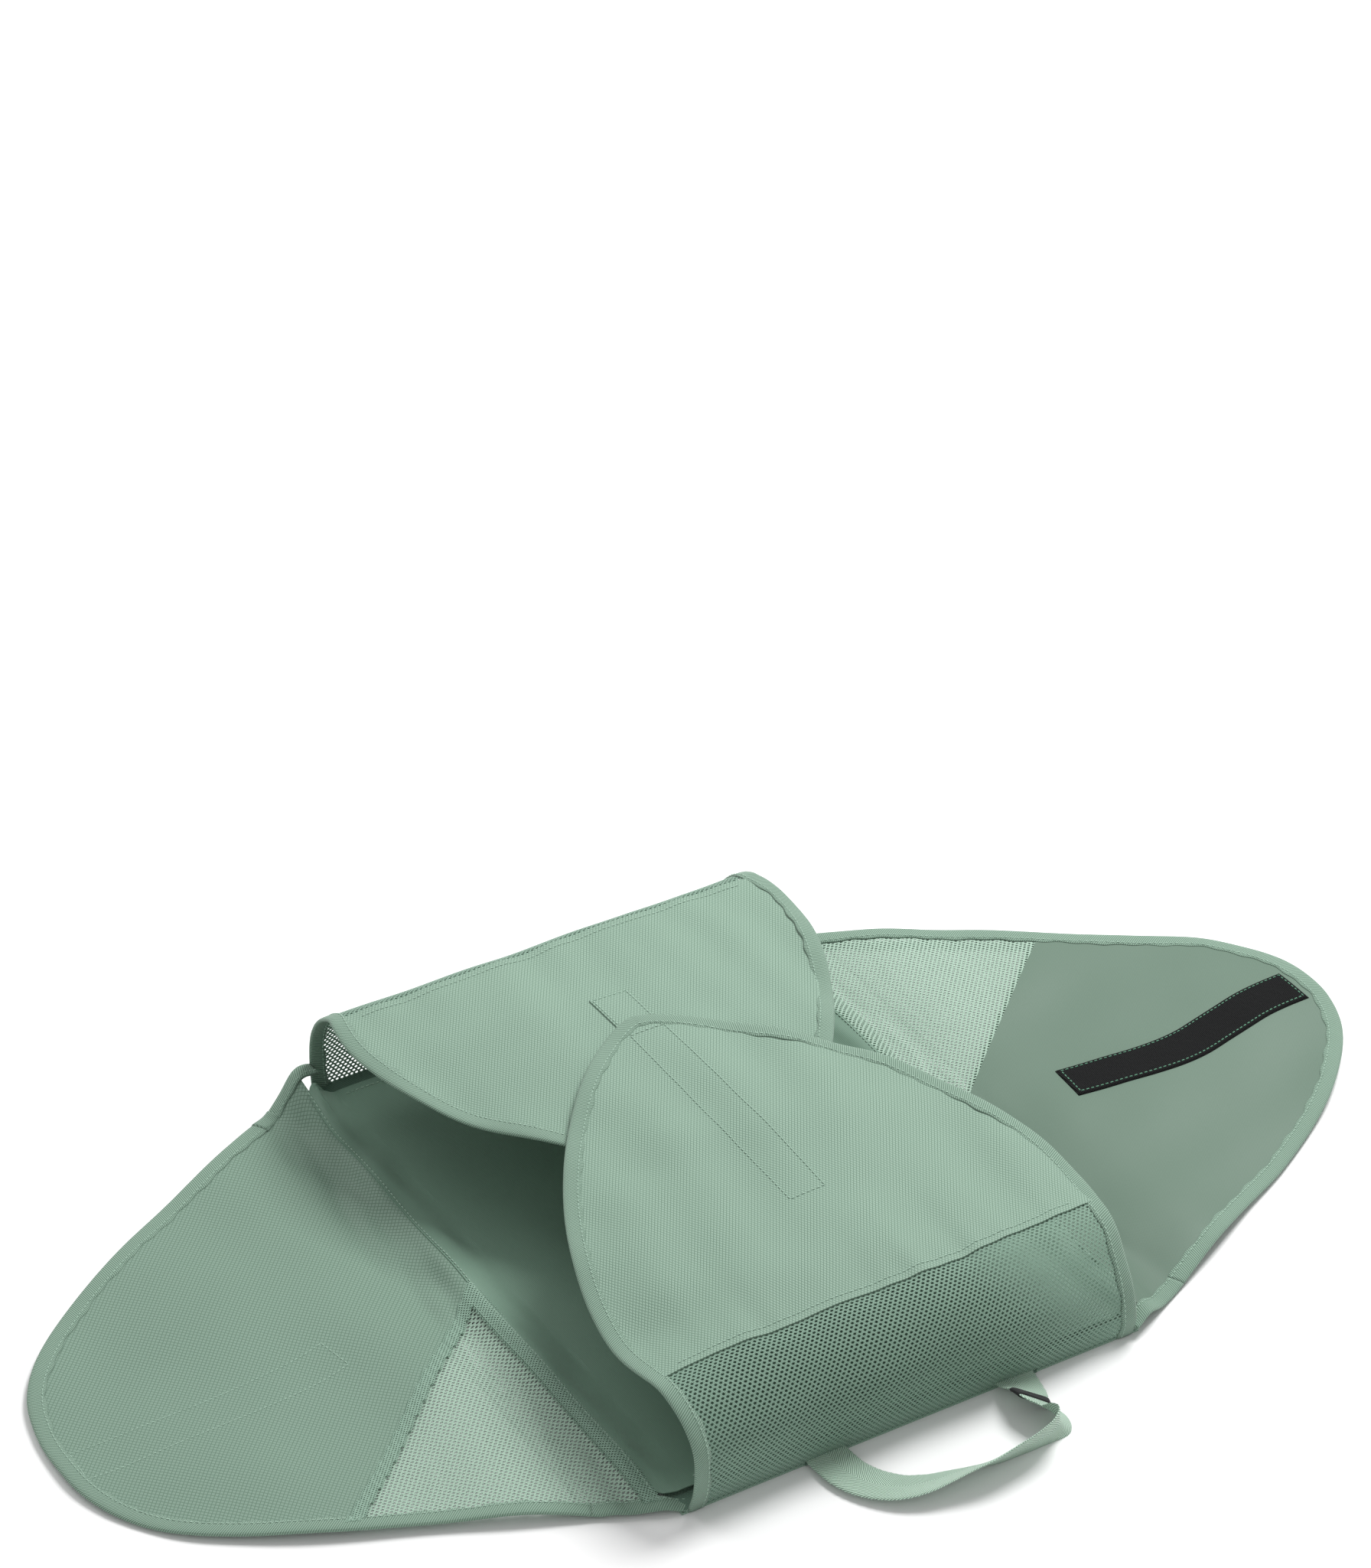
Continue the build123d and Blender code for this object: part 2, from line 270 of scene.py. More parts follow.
shellCloth = clothMaterial(
    "shellCloth", tint(143, 169, 152), tint(98, 124, 108), dobby, {"Pitch": 0.0021, "Lean": 0.62}, 0.00022,
    0.62, 0.12,
)
cloths = {
    "wingCloth": clothMaterial(
        "wingCloth", tint(130, 155, 139), tint(94, 120, 104), dobby, {"Pitch": 0.0030, "Lean": 0.9},
        0.00014, 0.48, 0.06,
    ),
    "coatedCloth": clothMaterial(
        "coatedCloth", tint(106, 127, 113), tint(97, 119, 104), dobby, {"Pitch": 0.0012, "Lean": 1.0},
        0.00004, 0.42, 0.05, speckle=0.04,
    ),
}
liningCloth = clothMaterial(
    "liningCloth", tint(124, 152, 135), tint(114, 142, 125), ribs, {"Pitch": 0.0009, "Lean": 0.0}, 0.00003,
    0.38, 0.04, speckle=0.04,
)
tapeCloth = clothMaterial(
    "tapeCloth", tint(150, 177, 159), tint(98, 124, 108), ribs, {"Pitch": 0.0014, "Lean": 0.5}, 0.00022,
    0.6, 0.15,
)
# painted light: the same net as wallNetCloth, with lighter strands standing in for the bright floor seen
# through the holes under the wings
netClothPaintedLight = clothMaterial(
    "netClothPaintedLight", tint(192, 218, 200), tint(130, 160, 142), ribs, {"Pitch": 0.0009, "Lean": 0.7}, 0.00012,
    0.5, 0.2,
)
wallNetCloth = clothMaterial(
    "wallNetCloth", tint(152, 182, 164), tint(94, 124, 106), ribs, {"Pitch": 0.0009, "Lean": 0.7},
    0.00012, 0.55, 0.15,
)
bandCloth = clothMaterial(
    "bandCloth", tint(170, 200, 182), tint(104, 134, 116), ribs, {"Pitch": 0.0009, "Lean": 0.7}, 0.00012,
    0.55, 0.1,
)
seamCloth = clothMaterial(
    "seamCloth", tint(104, 130, 116), tint(80, 106, 92), ribs, {"Pitch": 0.0012, "Lean": 0.5}, 0.00012,
    0.7, 0.1, uv=False,
)
underCloth = clothMaterial(
    "underCloth", tint(148, 176, 158), tint(122, 150, 132), dobby, {"Pitch": 0.0021, "Lean": 0.62},
    0.00018, 0.62, 0.12, uv=False,
)
threadGreen = clothMaterial(
    "threadGreen", tint(186, 214, 196), tint(136, 166, 148), ribs, {"Pitch": 0.0007, "Lean": 1.0}, 0.00008,
    0.5, 0.2, uv=False,
)
threadDeep = clothMaterial(
    "threadDeep", tint(120, 178, 148), tint(60, 110, 86), ribs, {"Pitch": 0.0007, "Lean": 1.0}, 0.00008,
    0.5, 0.2, uv=False,
)
hookTape = clothMaterial(
    "hookTape", tint(26, 27, 28), tint(8, 9, 9), ribs, {"Pitch": 0.0011, "Lean": 0.0}, 0.0004, 0.85, 0.02,
    speckle=0.9,
)
loopTape = clothMaterial(
    "loopTape", tint(140, 168, 150), tint(112, 140, 122), ribs, {"Pitch": 0.0010, "Lean": 0.0}, 0.0004,
    0.85, 0.35, speckle=0.4,
)
tagCloth = clothMaterial(
    "tagCloth", tint(40, 40, 42), tint(20, 20, 22), ribs, {"Pitch": 0.0008, "Lean": 0.0}, 0.0001, 0.6, 0.1,
)


def boardMaterial():
    material = bpy.data.materials.new("boardSheet")
    material.use_nodes = True
    tree = material.node_tree
    shader = tree.nodes["Principled BSDF"]
    place = tree.nodes.new("ShaderNodeTexCoord").outputs["Object"]
    frost = noise(tree, place, 900.0, 2.0)
    wire(
        tree, shader.inputs["Base Color"],
        blendColour(tree, frost, (0.66, 0.68, 0.67, 1), (0.74, 0.75, 0.74, 1)),
    )
    wire(tree, shader.inputs["Roughness"], span(tree, frost, 0.3, 0.7, 0.35, 0.5))
    return material


def webbingMaterial():
    # Herringbone: threads slant one way on one half of the width and the other way on the other half
    material = bpy.data.materials.new("webbingCloth")
    material.use_nodes = True
    tree = material.node_tree
    shader = tree.nodes["Principled BSDF"]
    node = tree.nodes.new("ShaderNodeUVMap")
    node.uv_map = "cloth"
    split = tree.nodes.new("ShaderNodeSeparateXYZ")
    wire(tree, split.inputs[0], node.outputs[0])
    bar = calc(tree, "ABSOLUTE", split.outputs[0])
    slanted = calc(tree, "ADD", split.outputs[1], bar)
    threads = calc(tree, "SINE", calc(tree, "MULTIPLY", slanted, 2 * math.pi / 0.0016))
    cross = calc(tree, "SINE", calc(tree, "MULTIPLY", split.outputs[0], 2 * math.pi / 0.0013))
    mask = span(tree, threads, -0.7, 0.6)
    worn = useGroup(
        tree, shade, Vector=tree.nodes.new("ShaderNodeTexCoord").outputs["Object"], Cloud=0.08,
        Speckle=0.12,
    )
    # painted shade: the thread colour is light where the threads' bump is high and dark between them
    colour = blendColour(tree, mask, (*tint(132, 162, 142), 1), (*tint(206, 234, 214), 1))
    grey = tree.nodes.new("ShaderNodeCombineColor")
    for socket in grey.inputs[:3]:
        wire(tree, socket, worn["Shade"])
    wire(tree, shader.inputs["Base Color"], blendColour(tree, 1.0, colour, grey.outputs[0], "MULTIPLY"))
    bump = tree.nodes.new("ShaderNodeBump")
    bump.inputs["Strength"].default_value = 0.8
    bump.inputs["Distance"].default_value = 0.0003
    wire(tree, bump.inputs["Height"], calc(tree, "ADD", threads, calc(tree, "MULTIPLY", cross, 0.3)))
    wire(tree, shader.inputs["Normal"], bump.outputs[0])
    wire(tree, shader.inputs["Roughness"], span(tree, mask, 0.0, 1.0, 0.7, 0.5))
    shader.inputs["Sheen Weight"].default_value = 0.2
    return material


webbingCloth = webbingMaterial()
boardSheet = boardMaterial()
print("materials made")


# Mesh helpers
def ease(t):
    t = np.clip(t, 0.0, 1.0)
    return t * t * (3 - 2 * t)


def ripple(x, y, seed, wave, height, count=7):
    # a sum of sine waves in seeded directions, each about one wave long
    draw = np.random.default_rng(seed)
    total = np.zeros(np.broadcast(x, y).shape)
    for _ in range(count):
        turn, stretch, start = draw.uniform(0, 2 * np.pi), draw.uniform(0.7, 1.5), draw.uniform(0, 2 * np.pi)
        total += np.sin((x * np.cos(turn) + y * np.sin(turn)) * 2 * np.pi / (wave * stretch) + start)
    return total * height / np.sqrt(count)


def sharpenRim(mesh):
    # edges with one face are marked sharp, so that a sheet's shading runs straight on to its edge
    pairs = np.zeros(len(mesh.loops), np.int32)
    mesh.loops.foreach_get("edge_index", pairs)
    sharp = np.bincount(pairs, minlength=len(mesh.edges)) == 1
    mesh.attributes.new("sharp_edge", "BOOLEAN", "EDGE").data.foreach_set("value", sharp)


def smoothLine(points, count=400):
    # Catmull-Rom curve through the points, evenly spaced along its length, with that length.
    p = np.array(points)
    p = np.concatenate([[2 * p[0] - p[1]], p, [2 * p[-1] - p[-2]]])
    t = np.linspace(0, len(p) - 3 - 1e-9, count * 4)
    k = t.astype(int)
    f = (t - k)[:, None]
    a, b, c, d = p[k], p[k + 1], p[k + 2], p[k + 3]
    curve = 0.5 * (2 * b + (c - a) * f + (2 * a - 5 * b + 4 * c - d) * f**2 + (3 * b - a - 3 * c + d) * f**3)
    at = lengths(curve)
    even = np.linspace(0, at[-1], count)
    return resample(curve, at, even), even


def makePiece(name, points, faces, uv, material, thickness=0.0, smooth=True):
    mesh = bpy.data.meshes.new(name)
    mesh.from_pydata(np.asarray(points).reshape(-1, 3).tolist(), [], faces)
    mesh.validate()
    layer = mesh.uv_layers.new(name="cloth")
    corner = np.zeros(len(mesh.loops), np.int32)
    mesh.loops.foreach_get("vertex_index", corner)
    layer.data.foreach_set("uv", np.asarray(uv).reshape(-1, 2)[corner].astype(np.float32).ravel())
    mesh.polygons.foreach_set("use_smooth", np.full(len(mesh.polygons), smooth))
    mesh.materials.append(material)
    piece = bpy.data.objects.new(name, mesh)
    bpy.context.scene.collection.objects.link(piece)
    if thickness:
        sharpenRim(mesh)
        solid = piece.modifiers.new("thickness", "SOLIDIFY")
        solid.thickness = thickness
        solid.offset = 0.0
    return piece


def gridFaces(rows, columns, wrap=False, start=0):
    # quads of a rows x columns grid; wrap joins the last column to the first
    r, c = np.meshgrid(np.arange(rows - 1), np.arange(columns if wrap else columns - 1), indexing="ij")
    n = (c + 1) % columns
    quads = np.stack(
        [r * columns + c, r * columns + n, (r + 1) * columns + n, (r + 1) * columns + c], axis=-1,
    )
    return quads.reshape(-1, 4) + start


def unit(v):
    return v / np.maximum(np.linalg.norm(v, axis=-1, keepdims=True), 1e-12)


def lengths(path):
    return np.concatenate([[0.0], np.cumsum(np.linalg.norm(np.diff(path, axis=0), axis=1))])


def resample(values, at, new):
    return np.stack([np.interp(new, at, values[:, k]) for k in range(values.shape[1])], axis=1)


def surfaceFrame(surface, a, b, step=0.0008):
    # a point on the surface and its normal, from the cross product of two small steps
    point = surface(a, b)
    alongA = surface(a + step, b) - surface(a - step, b)
    alongB = surface(a, b + step) - surface(a, b - step)
    normal = unit(np.cross(alongA, alongB))
    return point, normal


def railOn(surface, a, b, inward, up=1.0):
    # A line on a surface: its points, its inward side and its upward side.
    point, normal = surfaceFrame(surface, a, b)
    normal = normal * up
    tangent = unit(np.gradient(point, axis=0))
    return point, unit(np.cross(normal, tangent)) * inward, normal


def sweep(name, rail, profile, material, vLow=0.0):
    # A closed profile (inward, up) carried along a rail, with its two ends filled.
    path, inward, up = rail
    points = path[:, None] + inward[:, None] * profile[None, :, :1] + up[:, None] * profile[None, :, 1:2]
    rows, columns = points.shape[:2]
    faces = gridFaces(rows, columns, wrap=True).tolist()
    faces += [list(range(columns))[::-1], list(range((rows - 1) * columns, rows * columns))]
    round_ = np.concatenate([[0.0], np.cumsum(np.linalg.norm(np.diff(profile, axis=0), axis=1))])
    uv = np.stack(np.broadcast_arrays(lengths(path)[:, None], vLow + round_[None]), axis=-1)
    piece = makePiece(name, points, faces, uv, material)
    fixNormals(piece)
    return piece


def fixNormals(piece):
    # turns a closed piece's faces outwards, by the sign of its volume
    mesh = piece.data
    mesh.calc_loop_triangles()
    p = np.array([v.co for v in mesh.vertices])
    t = np.array([tri.vertices[:] for tri in mesh.loop_triangles])
    a, b, c = p[t[:, 0]], p[t[:, 1]], p[t[:, 2]]
    if (a * np.cross(b, c)).sum() < 0:
        mesh.flip_normals()


def stitches(name, rails, material, pitch=0.0034, size=(0.0025, 0.00042), lift=0.0002):
    # Short spindle threads laid along each rail (points, up), end to end with small gaps.
    spots, heads, ups = [], [], []
    for path, up in rails:
        at = lengths(path)
        count = max(2, int(at[-1] / pitch))
        middle = (np.arange(count) + 0.5) * at[-1] / count
        spots.append(resample(path, at, middle))
        heads.append(unit(resample(path, at, middle + 0.0004) - resample(path, at, middle - 0.0004)))
        ups.append(unit(resample(up, at, middle)))
    spot, head, up = (np.concatenate(v) for v in (spots, heads, ups))
    side = unit(np.cross(head, up))
    long_, radius = size
    ring = np.array([[-0.5, 0.35, -0.9], [-0.3, 1.0, 0.0], [0.3, 1.0, 0.0], [0.5, 0.35, -0.9]])
    turn = np.arange(5) * 2 * np.pi / 5
    points = (
        spot[:, None, None]
        + head[:, None, None] * ring[None, :, None, :1] * long_
        + side[:, None, None] * (ring[None, :, None, 1:2] * radius * np.cos(turn)[None, None, :, None])
        + up[:, None, None] * (ring[None, :, None, 1:2] * radius * 0.7 * np.sin(turn)[None, None, :, None]
                               + ring[None, :, None, 2:] * radius + lift)
    )
    one = gridFaces(4, 5, wrap=True)
    faces = (one[None] + 20 * np.arange(len(spot))[:, None, None]).reshape(-1, 4).tolist()
    caps = np.array([[4, 3, 2, 1, 0], [15, 16, 17, 18, 19]])
    faces += (caps[None] + 20 * np.arange(len(spot))[:, None, None]).reshape(-1, 5).tolist()
    piece = makePiece(name, points, faces, np.zeros((points.size // 3, 2)), material)
    fixNormals(piece)
    return piece


net = {
    "across": 0.0034, "row": 0.0020, "shoulder": 0.0006, "hole": 0.6, "crown": 0.00016,
    "thickness": 0.00055,
}


def netPiece(name, surface, inside, box, material, raise_=0.0, shift=(0.0, 0.0), hole=None, scale=1.0):
    # Knitted net: six-sided cells on staggered rows, each with a hole. inside(a, b) says which cells stay.
    hole = hole or net["hole"]
    cell = {key: net[key] * scale for key in ("across", "row", "shoulder")}
    (aLow, aHigh), (bLow, bHigh) = box
    rows = np.arange(int((bHigh - bLow) / cell["row"]) + 2)
    columns = np.arange(int((aHigh - aLow) / cell["across"]) + 2)
    j, i = np.meshgrid(rows, columns, indexing="ij")
    a = (aLow + shift[0] + (i + 0.5 * (j % 2)) * cell["across"]).ravel()
    b = (bLow + shift[1] + j * cell["row"]).ravel()
    keep = inside(a, b)
    middle = np.stack([a[keep], b[keep]], axis=1)
    half, tall = cell["across"] / 2, cell["row"] - cell["shoulder"]
    ring = np.array([[0, tall], [half, cell["shoulder"]], [half, -cell["shoulder"]],
                     [0, -tall], [-half, -cell["shoulder"]], [-half, cell["shoulder"]]])
    outer = (middle[:, None] + ring[None]).reshape(-1, 2)
    key, index = np.unique(np.round(outer / 2e-5).astype(np.int64), axis=0, return_inverse=True)
    index = index.reshape(-1, 6)
    inner = (middle[:, None] + ring[None] * hole).reshape(-1, 2)
    flat = np.concatenate([key * 2e-5, inner])
    point, normal = surfaceFrame(surface, flat[:, 0], flat[:, 1])
    normal = normal * np.sign(normal[:, 2].mean() or 1.0)
    raised = np.full(len(flat), raise_)
    raised[: len(key)] += net["crown"]
    point = point + normal * raised[:, None]
    first = len(key) + 6 * np.arange(len(middle))[:, None]
    k = np.arange(6)
    n = (k + 1) % 6
    faces = np.stack([index[:, k], index[:, n], first + n[None], first + k[None]], axis=-1).reshape(-1, 4)
    return makePiece(name, point, faces.tolist(), flat, material, thickness=net["thickness"])


tape = {"width": 0.0108, "half": 0.00125, "stitchIn": 0.0088, "pitch": 0.0034}
tapeProfile = np.array([
    [tape["width"], 0.55], [tape["width"] - 0.0006, 0.95],
    [0.0075, 1.05], [0.0040, 1.12], [0.0015, 1.0], [0.0003, 0.55], [0.0, 0.0],
    [0.0003, -0.55], [0.0015, -1.0], [0.0040, -1.12], [0.0075, -1.05], [tape["width"] - 0.0006, -0.95],
    [tape["width"], -0.55],
])
tapeProfile[:, 1] *= tape["half"]


def tapeEdge(name, rail, material=None):
    # Folded tape along an edge, with its stitches on the inner edge of both faces.
    path, inward, up = rail
    turn = lengths(path) * 2 * np.pi
    pucker = 1 + 0.05 * np.sin(turn / 0.019) + 0.04 * np.sin(turn / 0.047)
    edge = sweep(name, (path, inward * pucker[:, None], up), tapeProfile, material or tapeCloth)
    seam = path + inward * tape["stitchIn"]
    rise = up * tape["half"] * 0.98
    thread = stitches(
        name + "_stitches", [(seam + rise, up), (seam - rise, -up)], threadGreen, tape["pitch"],
    )
    return edge, thread


# Wings
# Outlines are (outward from the fold, lengthwise), from one end of the fold round the tip to the other.
wings = {
    "left": {
        "side": -1,
        "outline": [
            (-0.012, -0.2300), (0.0207, -0.2215), (0.0665, -0.1974), (0.1119, -0.1745),
            (0.1594, -0.1480), (0.2124, -0.1135), (0.2488, -0.0812), (0.2705, -0.0507),
            (0.2800, -0.0200), (0.2825, 0.0090), (0.2800, 0.0400), (0.2690, 0.0690),
            (0.2480, 0.0965), (0.2155, 0.1203), (0.1737, 0.1432), (0.1291, 0.1630),
            (0.0746, 0.1880), (0.0285, 0.2112), (-0.012, 0.2290),
        ],
        "seam": ((0.0, -0.0050), (0.166, 0.1460)),
        "cornerLift": 0.019,
        "bandRaise": 0.0012,
        "roll": (0.0020, 0.0),
        "seed": 3,
        "cloth": "wingCloth",
        "strip": [
            (0.1000, 0.0068), (0.1180, 0.0105), (0.1400, 0.0135), (0.1650, 0.0158),
            (0.1920, 0.0173), (0.2220, 0.0184), (0.2520, 0.0190), (0.2740, 0.0185),
        ],
    },
    "right": {
        "side": 1,
        "outline": [
            (-0.012, -0.2330), (0.0127, -0.2218), (0.0757, -0.1911), (0.1201, -0.1679),
            (0.1636, -0.1465), (0.2173, -0.1131), (0.2520, -0.0828), (0.2756, -0.0535),
            (0.2868, -0.0250), (0.2884, 0.0010), (0.2835, 0.0285), (0.2725, 0.0515),
            (0.2520, 0.0765), (0.2150, 0.1003), (0.1723, 0.1280), (0.1250, 0.1585),
            (0.0764, 0.1880), (0.0300, 0.2115), (-0.012, 0.2300),
        ],
        "seam": ((0.0, -0.0250), (0.176, 0.1310)),
        "cornerLift": 0.004,
        "bandRaise": -0.0012,
        "roll": (0.0015, 0.0040),
        "seed": 8,
        "cloth": "coatedCloth",
        "strip": [
            (0.0935, -0.0145), (0.1100, -0.0160), (0.1290, -0.0176), (0.1480, -0.0198),
            (0.1660, -0.0205), (0.1840, -0.0190), (0.2030, -0.0150), (0.2210, -0.0113),
            (0.2390, -0.0076), (0.2560, -0.0058), (0.2740, -0.0050),
        ],
    },
}
fold = {
    "lie": 0.0020, "crestAt": 0.009, "crest": 0.0082, "outer": 0.0125, "splitAt": 0.045,
    "tapeFrom": -0.004,
}
band = {"below": 0.0040, "above": 0.0042}


def wingCurve(wing, inset=0.0):
    # the outline as an even curve, moved inwards
    curve, at = smoothLine(wing["outline"], count=700)
    along = unit(np.gradient(curve, axis=0))
    return curve + inset * np.stack([-along[:, 1], along[:, 0]], axis=1), at


def wingSpan(wing, u, inset=0.0):
    # Lengthwise reach (low, high) of the outline at u, read against q, where u = depth (1 - q^2).
    curve, _ = wingCurve(wing, inset)
    tip = int(curve[:, 0].argmax())
    q = np.sqrt(np.clip(1 - curve[:, 0] / curve[tip, 0], 0, None))
    at = np.sqrt(np.clip(1 - np.asarray(u) / curve[tip, 0], 0, None))
    low = np.interp(at, q[: tip + 1][::-1], curve[: tip + 1, 1][::-1])
    return low, np.interp(at, q[tip:], curve[tip:, 1])


def wingSurface(wing):
    # Height: a crest beside the side fold, a furrow and a swell beyond it, then soft waves to the edge.
    side, seed = wing["side"], wing["seed"]
    nearLift, farLift = wing["roll"]

    def surface(u, w):
        u, w = np.broadcast_arrays(np.asarray(u, float), np.asarray(w, float))
        x, y = side * (sideFoldX + u), side * w
        taper = 0.30 + 0.70 * ease((0.224 - np.abs(w)) / 0.060)
        off = u - fold["crestAt"]
        width = np.where(off > 0, fold["outer"], 0.009)
        crest = fold["crest"] * np.exp(-((off / width) ** 2)) * taper * (1 + 0.10 * np.sin(w * 61 + seed))
        furrow = -0.0010 * np.exp(-(((u - 0.038) / 0.012) ** 2))
        furrow = furrow + 0.0030 * np.exp(-(((u - 0.075) / 0.028) ** 2)) * taper
        free = ease((u - 0.012) / 0.040)
        waves = ripple(x, y, seed, 0.15, 0.0013) + ripple(x, y, seed + 1, 0.055, 0.0003)
        creases = ripple(x * 1.8, y * 0.5, seed + 2, 0.034, 0.0009) * np.exp(-(((u - 0.026) / 0.016) ** 2))
        corner = wing["cornerLift"] * np.exp(-((u / 0.020) ** 2)) * ease((-w - 0.165) / 0.060)
        near = nearLift * ease((w - 0.05) / 0.12) * ease(u / 0.05)
        swell = farLift * np.exp(-(((w + 0.02 - 0.20 * (u - 0.13)) / 0.050) ** 2)) * ease((u - 0.05) / 0.08)
        z = fold["lie"] + crest + furrow + free * (waves + 0.0016) + creases + corner + near + swell
        return np.stack([x, y, np.maximum(z, 0.0016)], axis=-1)
    return surface


def seamLine(wing, u):
    (u0, w0), (u1, w1) = wing["seam"]
    return w0 + (u - u0) * (w1 - w0) / (u1 - u0)


def bendWing(piece, name, part, slot, *nodes):
    # bakes the piece's transform into its mesh, and hides the model's parts that it stands in for
    if part == "side":
        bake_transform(piece)
    else:
        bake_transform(piece)
    if nodes:
        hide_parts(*nodes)


def wingRails(wing, surface, part):
    # Edge rails of one part: points, inward side and upward side, evenly spaced along the outline.
    curve, at = wingCurve(wing)
    tip = int(curve[:, 0].argmax())
    marks = {}
    for label, u in (("from", fold["tapeFrom"]), ("split", fold["splitAt"])):
        marks[label] = (
            np.interp(u, curve[: tip + 1, 0], at[: tip + 1]), np.interp(-u, -curve[tip:, 0], at[tip:]),
        )
    if part == "top":
        spans = [("", marks["split"][0], marks["split"][1], 260)]
    else:
        spans = [
            ("_back", marks["from"][0], marks["split"][0], 26),
            ("_front", marks["split"][1], marks["from"][1], 26),
        ]
    rails = []
    for label, start, end, count in spans:
        line = resample(curve, at, np.linspace(start, end, count))
        point, normal = surfaceFrame(surface, line[:, 0], line[:, 1])
        along = unit(np.gradient(point, axis=0))
        up = normal * np.sign(normal[:, 2:3])
        inward = unit(np.cross(up, along))
        middle = surface(0.11, 0.0)
        inward = inward * np.sign(((middle - point) * inward).sum(axis=1).mean())
        rails.append((label, (point, inward, up)))
    return rails


def makeWing(name, wing):
    surface, splitAt, inset = wingSurface(wing), fold["splitAt"], 0.0018
    slope = math.hypot(
        1, (wing["seam"][1][1] - wing["seam"][0][1]) / (wing["seam"][1][0] - wing["seam"][0][0]),
    )
    tip = wingCurve(wing, inset)[0][:, 0].max()
    reach = wing["seam"][1][0] + 0.012
    for part in ("side", "top"):
        # cloth: rows across u, columns from the far edge to just past the net's seam or to the other edge
        if part == "side":
            u = np.linspace(fold["crestAt"] - 0.002, splitAt, 30)
        else:
            u = tip * (1 - np.linspace(math.sqrt(1 - splitAt / tip), 0.03, 120) ** 2)
        low, high = wingSpan(wing, u, inset)
        high = np.where(u < reach, np.minimum(high, seamLine(wing, u) + 0.002), high)
        w = low[:, None] + (high - low)[:, None] * np.linspace(0, 1, 120)[None]
        uGrid = np.broadcast_to(u[:, None], w.shape)
        panel = makePiece(f"{name}_wing_{part}_cloth", surface(uGrid, w), gridFaces(*w.shape).tolist(),
                          np.stack([uGrid, w], axis=-1), cloths[wing["cloth"]], thickness=0.0008)
        bendWing(panel, name, part, "wing_cloth", f"{name}_{part}_panel")

        # net corner between the seam and the edge tape, in the net cloth lightened as painted light
        uLow, uHigh = (fold["crestAt"] - 0.002, splitAt) if part == "side" else (splitAt, reach)

        def inNet(a, b):
            within = (b > seamLine(wing, a) - 0.001) & (b < wingSpan(wing, a, 0.004)[1])
            return (a >= uLow) & (a < uHigh) & within

        corner = netPiece(
            f"{name}_wing_{part}_net", surface, inNet, ((-0.010, reach), (-0.06, 0.226)), netClothPaintedLight,
            raise_=-0.0003,
        )
        bendWing(corner, name, part, "wing_mesh", f"{name}_{part}_mesh")

        # turned-over band of net along the seam, and along the crest where the net begins
        def inBand(a, b):
            off = (b - seamLine(wing, a)) / slope
            onSeam = (off > -band["below"]) & (off < band["above"])
            onCrest = (a < fold["crestAt"] + 0.006) & (off > -band["below"])
            return (a >= uLow) & (a < uHigh) & (onSeam | onCrest) & (b < wingSpan(wing, a, 0.006)[1])

        turned = netPiece(
            f"{name}_wing_{part}_net_band", surface, inBand, ((-0.010, reach), (-0.06, 0.226)), bandCloth,
            raise_=wing["bandRaise"], shift=(0.0009, 0.0007), hole=0.55, scale=0.64,
        )
        bendWing(turned, name, part, "wing_mesh", f"{name}_{part}_seam")

        # edge tape
        for label, rail in wingRails(wing, surface, part):
            edgeTape, thread = tapeEdge(f"{name}_wing_{part}_tape{label}", rail)
            bendWing(edgeTape, name, part, "binding_tape", f"{name}_{part}_binding")
            bendWing(thread, name, part, "binding_tape")


for name, wing in wings.items():
    makeWing(name, wing)

# the left wing's tape laps over its own end behind the side fold
lapRail = wingRails(wings["left"], wingSurface(wings["left"]), "side")[0][1]
lapProfile = tapeProfile * [1.0, 1.6] - [0.0004, 0.0]
lap = sweep("left_wing_side_tape_lap", tuple(v[17:] for v in lapRail), lapProfile, tapeCloth)
bendWing(lap, "left", "side", "binding_tape")
print("wings made")


# hook strip on the right wing's upper face, loop strip under the left wing
strips = {"half": 0.0150, "stitchIn": 0.82, "thick": 0.0012, "fuzz": 0.00016}


def stripLoop(line, at, half):
    # Corner-to-corner loop of stitches inside a strip: along one side, across, back and across.
    inner, margin = half * strips["stitchIn"], half * (1 - strips["stitchIn"])
    along = unit(np.gradient(line, axis=0))
    across = np.stack([-along[:, 1], along[:, 0]], axis=1)
    keep = np.linspace(margin, at[-1] - margin, 90)
    middle, side = resample(line, at, keep), resample(across, at, keep)
    t = np.linspace(-1, 1, 12)[:, None]
    return np.concatenate([middle - side * inner, middle[-1] + side[-1] * inner * t,
                           (middle + side * inner)[::-1], middle[0] - side[0] * inner * t])


